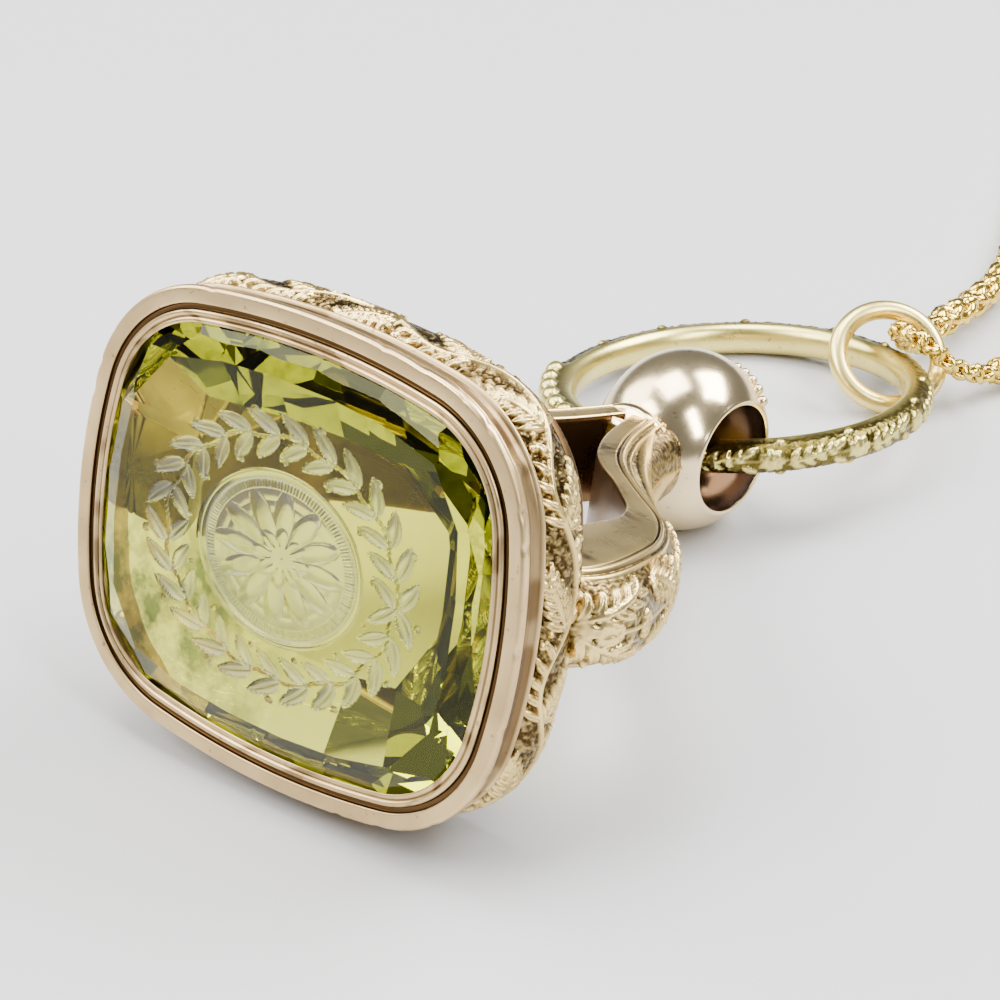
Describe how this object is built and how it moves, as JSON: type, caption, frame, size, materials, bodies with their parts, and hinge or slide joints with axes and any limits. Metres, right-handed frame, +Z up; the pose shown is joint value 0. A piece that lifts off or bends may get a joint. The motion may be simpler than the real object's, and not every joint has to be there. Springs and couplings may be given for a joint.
{
  "type": "citrine fob seal necklace",
  "caption": "Cushion-cut citrine seal in an ornamented gold fob mount, hung by a chased split ring and a jump ring on a gold rope chain.",
  "frame": {"origin": "the point of the surface straight below the middle of the seal's front rim", "axes": "+X along the seal's face, +Y from the face back along the chain, +Z up from the surface"},
  "size_m": [0.0806, 0.2615, 0.0236],
  "materials": {
    "rose_gold": "chased and matted rose gold with polished edges",
    "green_gold": "chased green gold, polished inside",
    "yellow_gold": "polished yellow gold",
    "chain_gold": "polished yellow gold rope links",
    "citrine": "polished facets with a frosted engraved table"
  },
  "bodies": {
    "root": {"seal_mount": "rose_gold", "citrine": "citrine", "split_ring": "green_gold", "jump_ring": "yellow_gold", "chain": "chain_gold", "end_loop_left": "yellow_gold", "end_loop_right": "yellow_gold", "clasp": "yellow_gold"}
  },
  "joints": []
}
